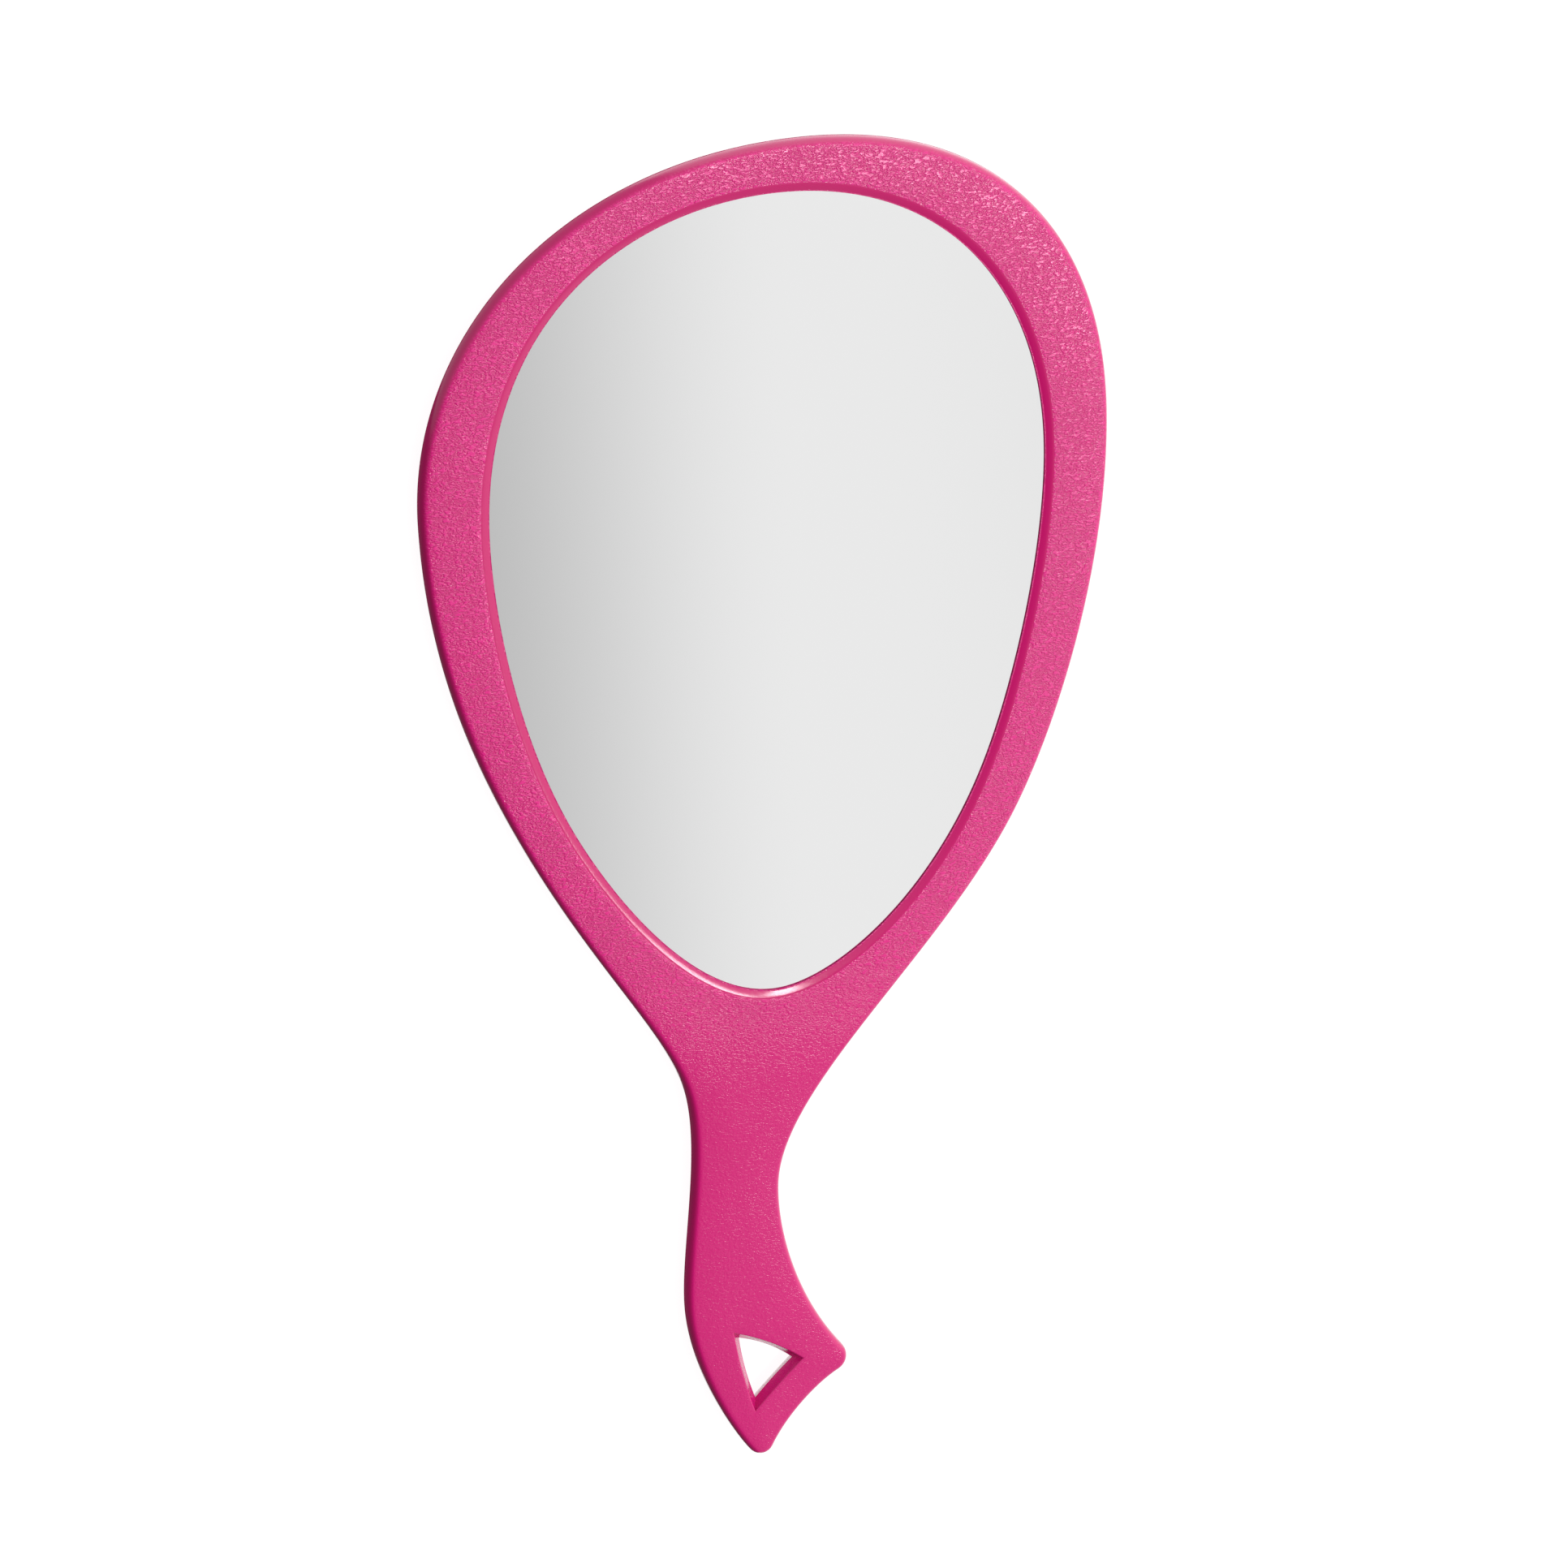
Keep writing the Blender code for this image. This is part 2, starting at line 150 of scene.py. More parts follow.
# Light of the room by the slope of the direction, X or Y over Z. Each is (slope where the
# change starts, slope where it ends, light before, light after).
ROOM = (-0.25, 0.28, 0.10, 0.50)
SHEET_RISE = (0.295, 0.37, 0.0, 0.38)
SHEET_FALL = (0.38, 0.50, 0.0, -0.12)
SHEET_NEAR = (-0.75, -0.57, 0.55, 1.0)
SIDE_LIGHT = (0.6, 1.2, 0.0, 0.7)
FAR_LIGHT = (-0.35, 0.1, 0.0, 0.62)
LOWEST_RISE = 0.05

# Colours of the plastic: creases with painted shade, darker and lighter at random, the top
# of the grain with a painted highlight, and the polished lip.
CREASE_SHADE_DARK = (0.47, 0.004, 0.122, 1)
CREASE_SHADE_LIGHT = (0.52, 0.006, 0.142, 1)
GRAIN_TOP_HIGHLIGHT = (0.66, 0.015, 0.212, 1)
# Painted shade: the polished side walls, lip and undersides are a deeper pink than the face.
POLISHED_SHADE_PINK = (0.46, 0.003, 0.112, 1)

# Leather: depth in metres, roughness of the polished plastic, and where along the mirror
# the wrinkles fade.
GRAIN_DEPTH = 0.00011
LIP_ROUGHNESS = 0.15
FRONT_ROUGHNESS = 0.23
BACK_ROUGHNESS = 0.26
GRAIN_FADE = (-62.0, -18.0, 0.16, 1.0)


# ---- outlines -------------------------------------------------------------------------


def direction(heading):
    return Vector((math.cos(math.radians(heading)), math.sin(math.radians(heading))))


def smooth_path(anchors, step):
    """Points along the closed curve through the anchors."""
    points = []
    for here, there in zip(anchors, anchors[1:] + anchors[:1]):
        start = Vector(here[:2])
        end = Vector(there[:2])
        leave = start + direction(here[2]) * here[4]
        arrive = end - direction(there[2]) * there[3]
        steps = max(FEWEST_STEPS, math.ceil((end - start).length / step))
        points += geometry.interpolate_bezier(start, leave, arrive, end, steps + 1)[:-1]
    return np.array([point[:2] for point in points])


def rounded_tip(tip):
    """The two anchors at the ends of a tip's arc, which turns to the right."""
    centre, radius, heading_in, heading_out, reach_in, reach_out = tip
    arc_reach = 4 / 3 * math.tan(math.radians(heading_in - heading_out) / 4) * radius
    first = Vector(centre) + direction(heading_in + 90) * radius
    last = Vector(centre) + direction(heading_out + 90) * radius
    return [
        (first.x, first.y, heading_in, reach_in, arc_reach),
        (last.x, last.y, heading_out, arc_reach, reach_out),
    ]


def mirror_outline():
    tips = rounded_tip(RIGHT_TIP) + rounded_tip(LOWER_TIP)
    right = [HEAD_TOP, HEAD_RIGHT, FLANK_RIGHT, GRIP_RIGHT]
    left = [GRIP_LEFT_LOW, GRIP_LEFT_HIGH, FLANK_LEFT, HEAD_LEFT]
    return smooth_path(right + tips + left, OUTLINE_STEP)


def shifted(path, distance):
    """Every point of the clockwise path moved inwards by distance, outwards if negative."""
    run = np.roll(path, -1, axis=0) - path
    run /= np.linalg.norm(run, axis=1)[:, None]
    ahead = run + np.roll(run, 1, axis=0)
    ahead /= np.linalg.norm(ahead, axis=1)[:, None]
    return path + distance * np.stack([ahead[:, 1], -ahead[:, 0]], axis=1)


def hanging_hole(growth):
    """The bowed triangle with each side moved outwards by growth."""
    corners = [Vector(corner) for corner in HOLE_CORNERS]
    outwards = []
    for here, there in zip(corners, corners[1:] + corners[:1]):
        run = (there - here).normalized()
        outwards.append(Vector((-run.y, run.x)))
    grown = []
    for number, corner in enumerate(corners):
        before, after = outwards[number - 1], outwards[number]
        grown.append(corner + (before + after) * growth / (1 + before.dot(after)))
    points = []
    for number, bow in enumerate(HOLE_BOWS):
        start, end = grown[number], grown[(number + 1) % len(grown)]
        for step in range(HOLE_SIDE_STEPS):
            part = step / HOLE_SIDE_STEPS
            swell = outwards[number] * bow * 4 * part * (1 - part)
            points.append(start.lerp(end, part) + swell)
    return np.array([point[:] for point in points])


def distance_to(path, points):
    """Distance of each point to the closed path."""
    side = np.roll(path, -1, axis=0) - path
    length = (side**2).sum(1)
    nearest = np.full(len(points), np.inf)
    for start, run, square in zip(path, side, length):
        offset = points - start
        along = np.clip(offset @ run / square, 0, 1)
        gap = np.linalg.norm(offset - along[:, None] * run, axis=1)
        nearest = np.minimum(nearest, gap)
    return nearest


def inside(path, points):
    """True for each point that lies inside the closed path."""
    within = np.zeros(len(points), bool)
    for start, end in zip(path, np.roll(path, -1, axis=0)):
        spans = (start[1] > points[:, 1]) != (end[1] > points[:, 1])
        rise = end[1] - start[1] if end[1] != start[1] else 1.0
        cross = start[0] + (points[:, 1] - start[1]) / rise * (end[0] - start[0])
        within ^= spans & (points[:, 0] < cross)
    return within


# ---- meshes ---------------------------------------------------------------------------


def lattice_points(border, holes):
    """Staggered points inside the border and clear of it and of the holes."""
    low, high = border.min(axis=0), border.max(axis=0)
    rows = []
    for row, y in enumerate(np.arange(low[1], high[1], LATTICE * math.sqrt(3) / 2)):
        x = np.arange(low[0] + (row % 2) * LATTICE / 2, high[0], LATTICE)
        rows.append(np.stack([x, np.full(len(x), y)], axis=1))
    points = np.concatenate(rows)
    clear = inside(border, points) & (distance_to(border, points) > LATTICE / 2)
    for hole in holes:
        clear &= ~inside(hole, points) & (distance_to(hole, points) > LATTICE / 2)
    return points[clear]


def triangles(border, holes):
    """Points and triangles that fill the border round the holes."""
    rings = [border] + holes
    points = np.concatenate(rings + [lattice_points(border, holes)])
    edges = []
    first = 0
    for ring in rings:
        count = len(ring)
        edges += [(first + i, first + (i + 1) % count) for i in range(count)]
        first += count
    made = geometry.delaunay_2d_cdt([Vector(p) for p in points], edges, [], 1, TOUCHING)
    spots = np.array([p[:] for p in made[0]])
    faces = np.array([list(face) for face in made[2]])
    middles = spots[faces].mean(axis=1)
    wanted = inside(border, middles)
    for hole in holes:
        wanted &= ~inside(hole, middles)
    return spots, faces[wanted]


class Shell:
    """Gathers strips and filled faces, in millimetres, and makes one closed mesh of them.

    Each point has a grain: 0 is polished, 1 is leather and 2 is a matte hidden wall.
    """

    def __init__(self):
        self.points = []
        self.faces = []
        self.grain = []

    def add(self, points, faces, grain):
        first = len(self.points)
        self.points += [tuple(point) for point in points]
        self.faces += [[first + i for i in face] for face in faces]
        self.grain += [grain] * len(points)

    def loft(self, rings, grains):
        """Strips of four-sided faces between rings of equally many points."""
        count = len(rings[0])
        for lower, upper, grain in zip(rings, rings[1:], grains):
            first = len(self.points)
            self.points += [tuple(point) for point in np.concatenate([lower, upper])]
            self.grain += [grain[0]] * count + [grain[1]] * count
            for i in range(count):
                j = (i + 1) % count
                face = [first + i, first + j, first + count + j, first + count + i]
                self.faces.append(face)

    def object(self, name, material):
        mesh = bpy.data.meshes.new(name)
        mesh.from_pydata([Vector(p) * MM for p in self.points], [], self.faces)
        grain = mesh.attributes.new("grain", "FLOAT", "POINT")
        grain.data.foreach_set("value", self.grain)
        obj = bpy.data.objects.new(name, mesh)
        bpy.context.scene.collection.objects.link(obj)
        weld(mesh)
        mesh.materials.append(material)
        mesh.shade_smooth()
        mesh.set_sharp_from_angle(angle=SHARP)
        return obj


def even(value, count):
    """The same grain at both edges of each strip."""
    return [(value, value)] * count


def weld(mesh):
    """Join the points that strips and faces share, and turn every face outwards."""
    form = bmesh.new()
    form.from_mesh(mesh)
    bmesh.ops.remove_doubles(form, verts=form.verts, dist=MERGE)
    bmesh.ops.recalc_face_normals(form, faces=form.faces)
    form.to_mesh(mesh)
    form.free()


def raised(path, height):
    """The path as 3-D points at one height, or at a height for each point."""
    heights = np.broadcast_to(np.asarray(height, float), (len(path),))
    return np.column_stack([path, heights])


# ---- the shells -----------------------------------------------------------------------


def face_height(points, outline):
    """Height of the softly crowned front face, which drops towards the outline."""
    share = np.clip(distance_to(outline, points) / CROWN_WIDTH, 0, 1)
    return THICKNESS - CROWN * (1 - share) ** 2


def rounded_edge(outline):
    """Rings of the long quarter round from the side wall up to the crowned face."""
    rings = []
    for step in range(ROUND_STEPS + 1):
        turn = math.pi / 2 * step / ROUND_STEPS
        ring = shifted(outline, EDGE_DEPTH * (1 - math.cos(turn)))
        sink = EDGE_DROP * (1 - math.sin(turn))
        rings.append(raised(ring, face_height(ring, outline) - sink))
    return rings


def front_frame(outline, opening, material):
    """The front shell: side wall, rounded edge, grained face, lip, hole and underside."""
    shell = Shell()
    edge = rounded_edge(outline)
    shell.loft([raised(outline, FRAME_BOTTOM), edge[0]], even(POLISHED, 1))
    # Over the upper half of the rounded edge the grain rises to half, so the roughness and the
    # painted shade of the polished side wall fade into the face.
    fade = [max(0.0, step / ROUND_STEPS - 0.5) for step in range(ROUND_STEPS + 1)]
    shell.loft(edge, list(zip(fade, fade[1:])))
    face_rings = [edge[-1]]
    for part in (1 / 3, 2 / 3, 1):
        ring = shifted(outline, EDGE_DEPTH + (FACE_MARGIN - EDGE_DEPTH) * part)
        face_rings.append(raised(ring, face_height(ring, outline)))
    shell.loft(face_rings, FACE_GRAINS)
    margin = shifted(outline, FACE_MARGIN)
    lip_face = shifted(opening, -POCKET_OFFSET)
    hole_face = hanging_hole(HOLE_FRONT_GROWTH + HOLE_BRIM)
    spots, faces = triangles(margin, [lip_face, hole_face])
    shell.add(raised(spots, face_height(spots, outline)), faces, LEATHER)
    shell.add(raised(spots, SKIN_UNDERSIDE), faces, POLISHED)
    add_lip(shell, opening, outline)
    add_hole(shell, outline)
    wall_inside = shifted(outline, WALL)
    inner = [
        raised(outline, FRAME_BOTTOM), raised(wall_inside, FRAME_BOTTOM),
        raised(wall_inside, SKIN_UNDERSIDE), raised(margin, SKIN_UNDERSIDE),
    ]
    shell.loft(inner, even(POLISHED, len(inner) - 1))
    return shell.object("frame_shell", material)


def add_lip(shell, opening, outline):
    """The smooth bevel that drops from the face to the glass, and the pocket under it."""
    crest = shifted(opening, -LIP_BEVEL - LIP_ROUND)
    outer = shifted(opening, -POCKET_OFFSET)
    middle = (crest + outer) / 2
    face = [raised(ring, face_height(ring, outline)) for ring in (outer, middle, crest)]
    shell.loft(face, [(LEATHER, LEATHER), (LEATHER, CREST_GRAIN)])
    slope = (THICKNESS - LIP_BOTTOM) / LIP_BEVEL
    rings = [face[-1]]
    for step in range(1, ROUND_STEPS + 1):
        part = step / ROUND_STEPS
        ring = shifted(opening, -LIP_BEVEL + LIP_ROUND * (2 * part - 1))
        top = face_height(ring, outline)
        rings.append(raised(ring, top - slope * LIP_ROUND * part**2))
    foot = shifted(opening, -LIP_ROUND)
    rings.append(raised(foot, LIP_BOTTOM + slope * LIP_ROUND))
    rings.append(raised(opening, LIP_BOTTOM - slope * LIP_ROUND))
    rings.append(raised(opening, POCKET_TOP))
    rings.append(raised(outer, POCKET_TOP))
    rings.append(raised(outer, SKIN_UNDERSIDE))
    bevel = [(CREST_GRAIN, POLISHED)] + even(POLISHED, ROUND_STEPS)
    shell.loft(rings, bevel + [(POLISHED, MATTE)] + even(MATTE, 3))


def add_hole(shell, outline):
    """Walls of the hanging hole in the frame, and the collar round them."""
    brim = hanging_hole(HOLE_FRONT_GROWTH + HOLE_BRIM)
    edge = []
    for step in range(ROUND_STEPS + 1):
        turn = math.pi / 2 * step / ROUND_STEPS
        ring = hanging_hole(HOLE_FRONT_GROWTH + HOLE_ROUND * (1 - math.sin(turn)))
        sink = HOLE_ROUND * (1 - math.cos(turn))
        edge.append(raised(ring, face_height(ring, outline) - sink))
    shell.loft([raised(brim, face_height(brim, outline)), edge[0]], even(LEATHER, 1))
    low = HOLE_BACK_GROWTH * (HOLE_WAIST - FRAME_BOTTOM) / HOLE_WAIST
    waist = raised(hanging_hole(0), HOLE_WAIST)
    foot = raised(hanging_hole(low), FRAME_BOTTOM)
    shell.loft(edge + [waist, foot], even(HOLE_GRAIN, len(edge) + 1))
    collar = hanging_hole(HOLE_COLLAR)
    under = [
        foot, raised(collar, FRAME_BOTTOM), raised(collar, SKIN_UNDERSIDE - COLLAR_DROP),
        raised(brim, SKIN_UNDERSIDE),
    ]
    shell.loft(under, even(POLISHED, len(under) - 1))


def rear_cover(outline, material):
    """The back shell: tapered sides, grained back, and the tray and tongue inside."""
    shell = Shell()
    depth, height = BACK_TAPER
    rings = [raised(outline, COVER_TOP), raised(shifted(outline, depth), height)]
    for step in range(1, ROUND_STEPS + 1):
        turn = math.pi / 2 * step / ROUND_STEPS
        ring = shifted(outline, depth + (BACK_EDGE_DEPTH - depth) * math.sin(turn))
        rings.append(raised(ring, height * (1 - math.sin(turn))))
    shell.loft(rings, even(BACK_EDGE_GRAIN, len(rings) - 1))
    brim = hanging_hole(HOLE_BACK_GROWTH + HOLE_BACK_BRIM)
    spots, faces = triangles(shifted(outline, BACK_EDGE_DEPTH), [brim])
    shell.add(raised(spots, 0.0), faces, LEATHER)
    tongue = shifted(outline, TONGUE_OFFSET)
    floor_edge = shifted(outline, TONGUE_OFFSET + TONGUE_THICKNESS)
    tongue_rings = [
        raised(outline, COVER_TOP), raised(tongue, COVER_TOP), raised(tongue, TONGUE_TOP),
        raised(floor_edge, TONGUE_TOP), raised(floor_edge, COVER_FLOOR),
    ]
    shell.loft(tongue_rings, even(POLISHED, len(tongue_rings) - 1))
    collar = hanging_hole(HOLE_COLLAR)
    spots, faces = triangles(floor_edge, [collar])
    shell.add(raised(spots, COVER_FLOOR), faces, POLISHED)
    high = HOLE_BACK_GROWTH * (HOLE_WAIST - COVER_TOP) / HOLE_WAIST
    low = HOLE_BACK_GROWTH * (HOLE_WAIST - HOLE_ROUND) / HOLE_WAIST
    hole_rings = [
        raised(collar, COVER_FLOOR), raised(collar, COVER_TOP),
        raised(hanging_hole(high), COVER_TOP), raised(hanging_hole(low), HOLE_ROUND),
        raised(brim, 0.0),
    ]
    shell.loft(hole_rings, even(HOLE_GRAIN, len(hole_rings) - 1))
    return shell.object("cover_shell", material)


# ---- materials ------------------------------------------------------------------------


def add(tree, kind, inputs=None, **settings):
    """A shader node with its settings made and its inputs set or linked."""
    made = tree.nodes.new("ShaderNode" + kind)
    for name, value in settings.items():
        setattr(made, name, value)
    for name, value in (inputs or {}).items():
        socket = made.inputs[name]
        if isinstance(value, bpy.types.NodeSocket):
            tree.links.new(value, socket)
        else:
            socket.default_value = value
    return made


def new_material(name):
    """An empty material's tree and its principled shader."""
    material = bpy.data.materials.new(name)
    material.use_nodes = True
    tree = material.node_tree
    return material, tree, tree.nodes["Principled BSDF"]


def ramp(tree, factor, low, high, low_value, high_value):
    """Smooth change from low_value to high_value as the factor goes from low to high."""
    made = add(tree, "MapRange", interpolation_type="SMOOTHSTEP")
    tree.links.new(factor, made.inputs["Value"])
    made.inputs["From Min"].default_value = low
    made.inputs["From Max"].default_value = high
    made.inputs["To Min"].default_value = low_value
    made.inputs["To Max"].default_value = high_value
    return made.outputs["Result"]


def calculate(tree, operation, a, b):
    return add(tree, "Math", {0: a, 1: b}, operation=operation).outputs[0]


def mix(tree, factor, low, high):
    """Colour between low and high. Either may be a colour or another node's output."""
    made = tree.nodes.new("ShaderNodeMix")
    made.data_type = "RGBA"
    tree.links.new(factor, made.inputs[0])
    for socket, value in ((made.inputs[6], low), (made.inputs[7], high)):
        if isinstance(value, bpy.types.NodeSocket):
            tree.links.new(value, socket)
        else:
            socket.default_value = value
    return made.outputs[2]


def in_millimetres(tree):
    place = add(tree, "TexCoord").outputs["Object"]
    return add(tree, "VectorMath", {0: place, "Scale": 1 / MM}, operation="SCALE").outputs[0]


def ridges(tree, place, scale, detail):
    """Creases where a noise crosses its middle, from 0 in a crease to 1 between creases."""
    noise = add(
        tree, "TexNoise", {"Vector": place, "Scale": scale, "Detail": detail, "Roughness": 0.6}
    ).outputs["Fac"]
    centred = calculate(tree, "ABSOLUTE", calculate(tree, "SUBTRACT", noise, 0.5), 0.0)
    return ramp(tree, centred, 0.0, 0.13, 0.0, 1.0)


def leather_height(tree, place):
    """Heights of the moulded leather grain: its short crossing wrinkles, and its pores."""
    drift = add(tree, "TexNoise", {"Vector": place, "Scale": 0.05, "Detail": 1.0})
    bend = add(tree, "VectorMath", {0: drift.outputs["Color"], "Scale": 3.0}, operation="SCALE")
    bent = add(tree, "VectorMath", {0: place, 1: bend.outputs[0]}).outputs[0]
    stretched = add(
        tree, "Mapping", {"Vector": bent, "Rotation": (0, 0, 0.6), "Scale": (1.0, 2.1, 1.0)}
    ).outputs[0]
    wrinkles = ridges(tree, stretched, 0.72, 2.0)
    pores = add(
        tree, "TexNoise", {"Vector": place, "Scale": 1.7, "Detail": 2.0, "Roughness": 0.6}
    ).outputs["Fac"]
    return wrinkles, pores


def pink_plastic(name, face_roughness):
    """Hot pink moulded plastic: polished at grain 0, leather at grain 1, matte at grain 2.
    Its colour holds painted light: shade on the polished parts, shade in the creases and a
    highlight on the ridge tops of the grain.
    """
    material, tree, shader = new_material(name)
    place = in_millimetres(tree)
    along = add(tree, "SeparateXYZ", {"Vector": place}).outputs["Y"]
    grain = add(tree, "Attribute", attribute_name="grain").outputs["Fac"]
    wrinkles, pores = leather_height(tree, place)
    on_head = ramp(tree, along, *GRAIN_FADE)
    depth = calculate(tree, "MULTIPLY", wrinkles, on_head)
    fine = calculate(tree, "MULTIPLY", pores, 0.5)
    height = calculate(tree, "MULTIPLY", calculate(tree, "ADD", depth, fine), grain)
    bump = add(tree, "Bump", {"Height": height, "Strength": 1.0, "Distance": GRAIN_DEPTH})
    mottle = add(tree, "TexNoise", {"Vector": place, "Scale": 0.06, "Detail": 3.0}).outputs["Fac"]
    # Painted light in the grain: the creases are a darker pink for shade, and the ridge tops a
    # lighter pink for a highlight.
    creases = mix(tree, mottle, CREASE_SHADE_DARK, CREASE_SHADE_LIGHT)
    ridge_highlight_share = ramp(tree, depth, 0.10, 0.95, 0.10, 0.75)
    face = mix(tree, ridge_highlight_share, creases, GRAIN_TOP_HIGHLIGHT)
    # The polished parts take the deeper pink of painted shade, and the grained parts take the face
    # colour.
    grained_share = ramp(tree, grain, POLISHED, 0.5, 0.0, 1.0)
    skin = mix(tree, grained_share, POLISHED_SHADE_PINK, face)
    tree.links.new(skin, shader.inputs["Base Color"])
    polish = ramp(tree, grain, POLISHED, LEATHER, LIP_ROUGHNESS, face_roughness)
    smear = ramp(tree, pores, 0.3, 0.7, -0.03, 0.03)
    matte = ramp(tree, grain, LEATHER, MATTE, 0.0, 0.5)
    roughness = calculate(tree, "ADD", calculate(tree, "ADD", polish, smear), matte)
    tree.links.new(roughness, shader.inputs["Roughness"])
    tree.links.new(bump.outputs[0], shader.inputs["Normal"])
    shader.inputs["Specular IOR Level"].default_value = 0.5
    return material


def silvered_glass():
    """Silver under a clear polished coat, with the lightest dust."""
    material, tree, shader = new_material("silvered_glass")
    place = in_millimetres(tree)
    dust = add(tree, "TexNoise", {"Vector": place, "Scale": 0.5, "Detail": 5.0}).outputs["Fac"]
    roughness = ramp(tree, dust, 0.45, 0.8, 0.0, 0.02)
    tree.links.new(roughness, shader.inputs["Roughness"])
    shader.inputs["Base Color"].default_value = (0.925, 0.925, 0.925, 1)
    shader.inputs["Metallic"].default_value = 1.0
    shader.inputs["Coat Weight"].default_value = 1.0
    shader.inputs["Coat IOR"].default_value = 1.52
    shader.inputs["Coat Roughness"].default_value = 0.003
    return material


def mirror_silver():
    """Silvered coating with the faintest cloudiness."""
    material, tree, shader = new_material("mirror_silver_fine")
    place = in_millimetres(tree)
    cloud = add(tree, "TexNoise", {"Vector": place, "Scale": 0.03, "Detail": 3.0}).outputs["Fac"]
    shade = ramp(tree, cloud, 0.3, 0.7, 0.955, 0.965)
    colour = add(tree, "CombineColor", {"Red": shade, "Green": shade, "Blue": shade}).outputs[0]
    tree.links.new(colour, shader.inputs["Base Color"])
    shader.inputs["Metallic"].default_value = 1.0
    shader.inputs["Roughness"].default_value = 0.004
    return material


def white_film():
    """Polymer film with a faint woven backing."""
    material, tree, shader = new_material("white_film_fine")
    place = in_millimetres(tree)
    weave = add(tree, "TexWave", {"Vector": place, "Scale": 0.9, "Distortion": 0.5}).outputs["Fac"]
    shade = ramp(tree, weave, 0.0, 1.0, 0.70, 0.76)
    colour = add(tree, "CombineColor", {"Red": shade, "Green": shade, "Blue": shade}).outputs[0]
    tree.links.new(colour, shader.inputs["Base Color"])
    bump = add(tree, "Bump", {"Height": weave, "Strength": 0.2, "Distance": 0.00005})
    tree.links.new(bump.outputs[0], shader.inputs["Normal"])
    shader.inputs["Roughness"].default_value = 0.45
    return material


def foam():
    """Closed-cell foam tape with small open cells on its surface."""
    material, tree, shader = new_material("foam_fine")
    place = in_millimetres(tree)
    cells = add(tree, "TexVoronoi", {"Vector": place, "Scale": 3.0}).outputs["Distance"]
    shade = ramp(tree, cells, 0.0, 0.6, 0.62, 0.84)
    colour = add(tree, "CombineColor", {"Red": shade, "Green": shade, "Blue": shade}).outputs[0]
    tree.links.new(colour, shader.inputs["Base Color"])
    bump = add(tree, "Bump", {"Height": cells, "Strength": 0.6, "Distance": 0.0001})
    tree.links.new(bump.outputs[0], shader.inputs["Normal"])
    shader.inputs["Roughness"].default_value = 0.9
    return material


def pale_floor():
    """Nearly white floor that glows, so that it shows hardly any shade."""
    material, tree, shader = new_material("pale_floor")
    place = add(tree, "TexCoord").outputs["Object"]
    cloud = add(tree, "TexNoise", {"Vector": place, "Scale": 6.0, "Detail": 4.0}).outputs["Fac"]
    shade = ramp(tree, cloud, 0.3, 0.7, 0.17, 0.19)
    colour = add(tree, "CombineColor", {"Red": shade, "Green": shade, "Blue": shade}).outputs[0]
    tree.links.new(colour, shader.inputs["Base Color"])
    shader.inputs["Roughness"].default_value = 0.8
    shader.inputs["Specular IOR Level"].default_value = 0.1
    shader.inputs["Emission Color"].default_value = (1.0, 1.0, 1.0, 1)
    shader.inputs["Emission Strength"].default_value = FLOOR_GLOW
    return material


# ---- stage ----------------------------------------------------------------------------


def floor():
    """Wide floor that neither shows in gloss nor throws light up at the sides."""
    mesh = bpy.data.meshes.new("floor")
    half = FLOOR_SIZE / 2
    corners = [(-half, -half, 0), (half, -half, 0), (half, half, 0), (-half, half, 0)]
    mesh.from_pydata(corners, [], [(0, 1, 2, 3)])
    mesh.materials.append(pale_floor())
    obj = bpy.data.objects.new("floor", mesh)
    obj.location.z = -FLOOR_DROP
    obj.visible_glossy = False
    obj.visible_diffuse = False
    bpy.context.scene.collection.objects.link(obj)


def soft_light(name, way, distance, size, power, shadow):
    """Rectangular lamp that lies in the direction way from the mirror and faces it."""
    lamp = bpy.data.lights.new(name, "AREA")
    lamp.shape = "RECTANGLE"
    lamp.size, lamp.size_y = size
    lamp.energy = power
    lamp.use_shadow = shadow
    obj = bpy.data.objects.new(name, lamp)
    obj.location = AIM + Vector(way).normalized() * distance
    obj.rotation_euler = (AIM - obj.location).to_track_quat("-Z", "Y").to_euler()
    bpy.context.scene.collection.objects.link(obj)


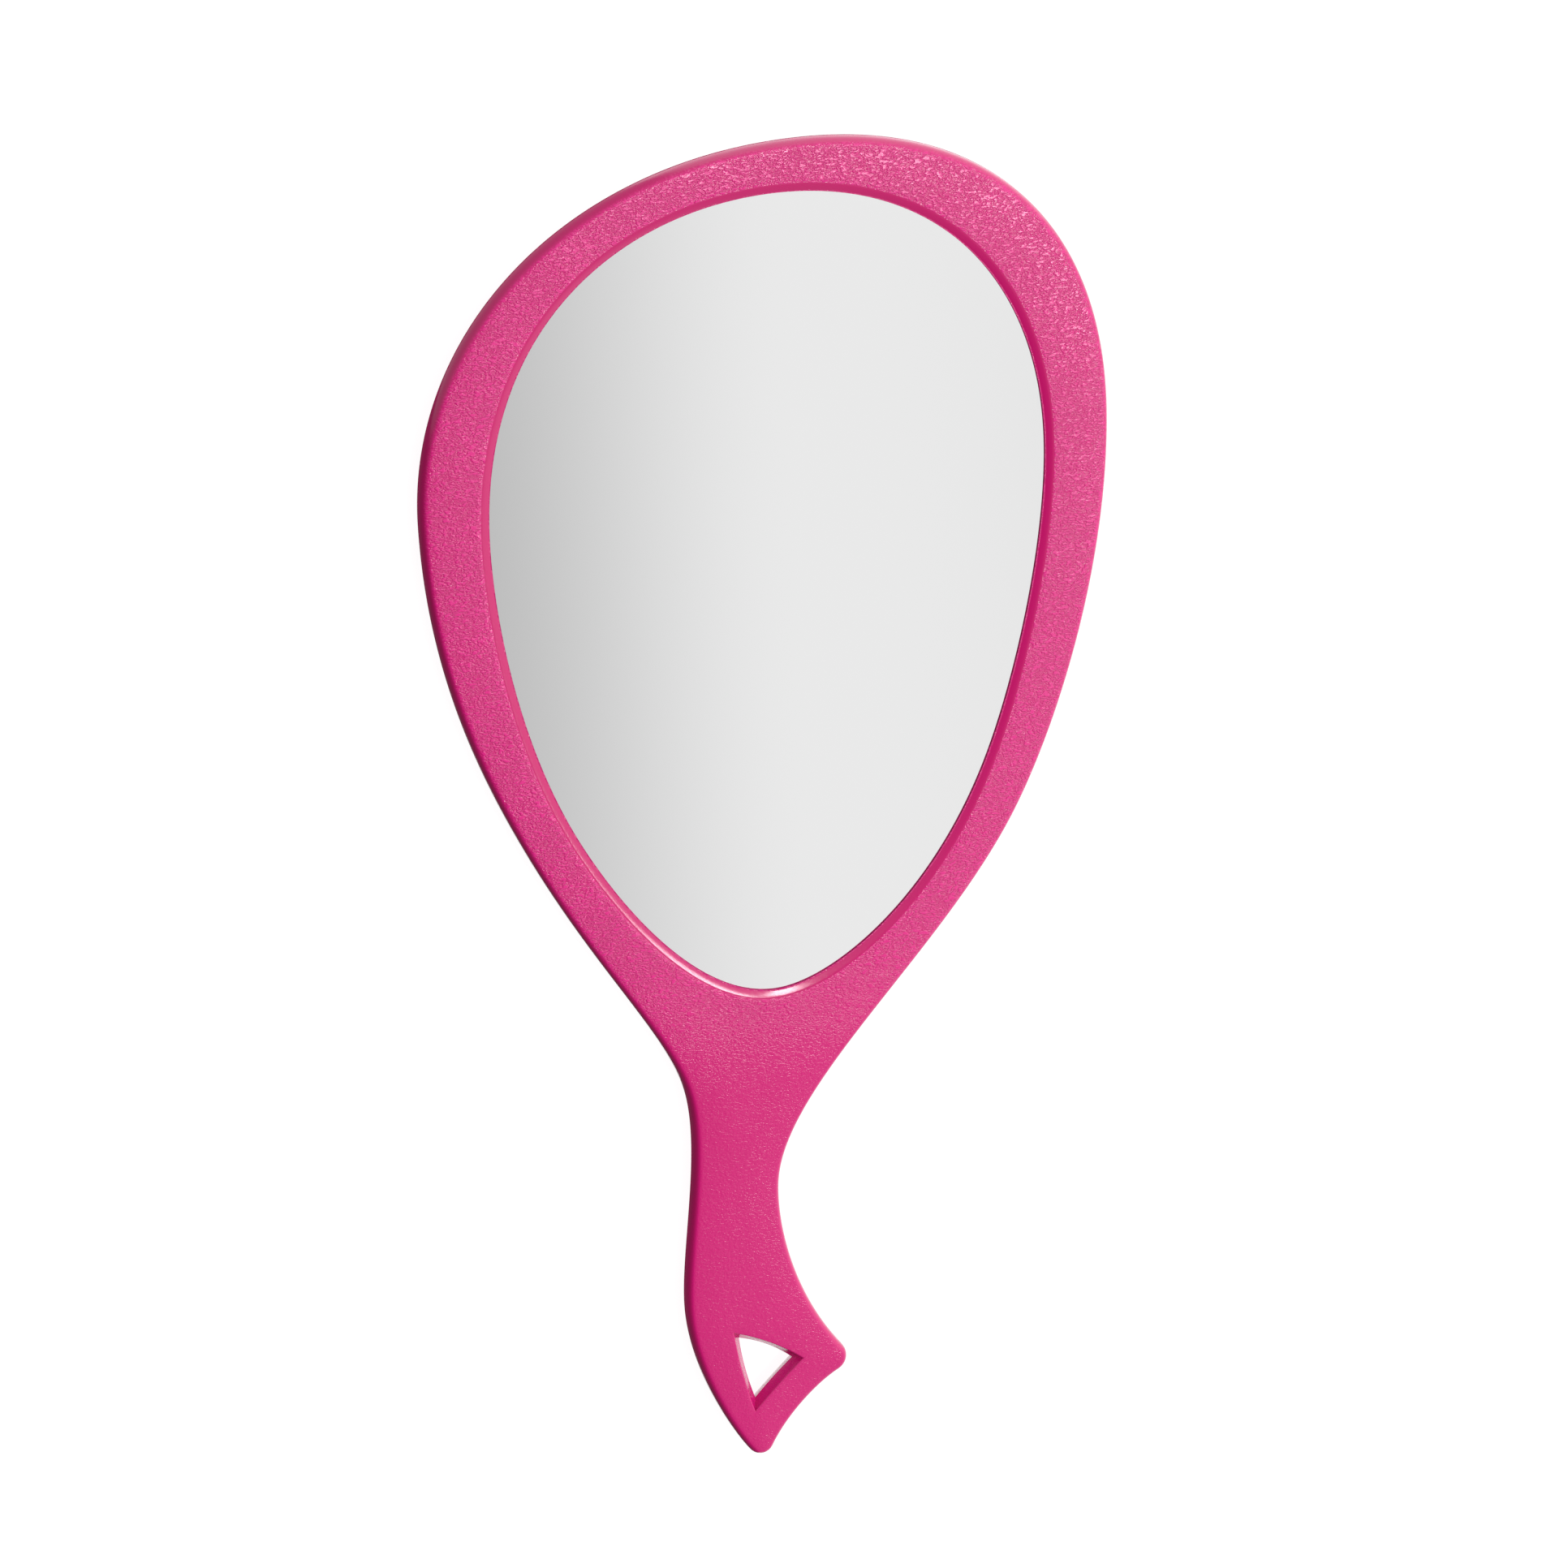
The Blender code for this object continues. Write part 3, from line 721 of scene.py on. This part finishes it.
def world_light():
    """Dim room with a pale sheet overhead to the right, which the glass shows as a soft
    gradient, and more light from the far side and low on the right.
    """
    world = bpy.data.worlds.new("studio")
    world.use_nodes = True
    bpy.context.scene.world = world
    tree = world.node_tree
    way = add(tree, "TexCoord").outputs["Generated"]
    parts = add(tree, "SeparateXYZ", {"Vector": way}).outputs
    height = calculate(tree, "MAXIMUM", parts["Z"], LOWEST_RISE)
    across = calculate(tree, "DIVIDE", parts["X"], height)
    along = calculate(tree, "DIVIDE", parts["Y"], height)
    room = ramp(tree, across, *ROOM)
    rise = ramp(tree, across, *SHEET_RISE)
    fall = ramp(tree, across, *SHEET_FALL)
    near = ramp(tree, along, *SHEET_NEAR)
    side = ramp(tree, across, *SIDE_LIGHT)
    far = ramp(tree, along, *FAR_LIGHT)
    sheet = calculate(tree, "MULTIPLY", calculate(tree, "ADD", rise, fall), near)
    fill = calculate(tree, "ADD", side, far)
    level = calculate(tree, "ADD", calculate(tree, "ADD", room, sheet), fill)
    background = tree.nodes["Background"]
    tree.links.new(level, background.inputs["Strength"])
    background.inputs["Color"].default_value = (1.0, 1.0, 1.0, 1)


def camera():
    """Camera over the head's left shoulder, turned so that the head is up."""
    yaw, pitch, roll = CAMERA_YAW, CAMERA_PITCH, CAMERA_ROLL
    back = Vector((
        -math.sin(yaw) * math.cos(pitch), math.sin(pitch), math.cos(yaw) * math.cos(pitch)
    ))
    level = Vector((math.cos(yaw), 0, math.sin(yaw)))
    upward = back.cross(level)
    right = level * math.cos(roll) + upward * math.sin(roll)
    up = upward * math.cos(roll) - level * math.sin(roll)
    view = bpy.data.cameras.new("camera")
    view.sensor_width = SENSOR
    view.lens = LENS
    obj = bpy.data.objects.new("camera", view)
    turn = Matrix((right, up, back)).transposed().to_4x4()
    obj.matrix_world = Matrix.Translation(AIM + back * CAMERA_DISTANCE) @ turn
    bpy.context.scene.collection.objects.link(obj)
    bpy.context.scene.camera = obj


# ---- build ----------------------------------------------------------------------------


def repaint(node, material):
    """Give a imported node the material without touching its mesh."""
    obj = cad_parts[node]
    for place in obj.material_slots:
        place.link = "OBJECT"
        place.material = material


outline = mirror_outline()
opening = smooth_path(GLASS_ANCHORS, OUTLINE_STEP)

frame_shell = front_frame(outline, opening, pink_plastic("pink_front", FRONT_ROUGHNESS))
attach(frame_shell, "root")
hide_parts("front_frame")

cover_shell = rear_cover(outline, pink_plastic("pink_back", BACK_ROUGHNESS))
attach(cover_shell, "root")
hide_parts("rear_cover")

repaint("mirror_glass", silvered_glass())
repaint("silver_coating", mirror_silver())
repaint("safety_film", white_film())
foam_material = foam()
for number in range(1, 7):
    repaint(f"foam_tape_{number}", foam_material)

floor()
world_light()
soft_light("key", *KEY_LAMP)
soft_light("window", *WINDOW_LAMP)
camera()
bpy.context.scene.view_settings.view_transform = "Standard"
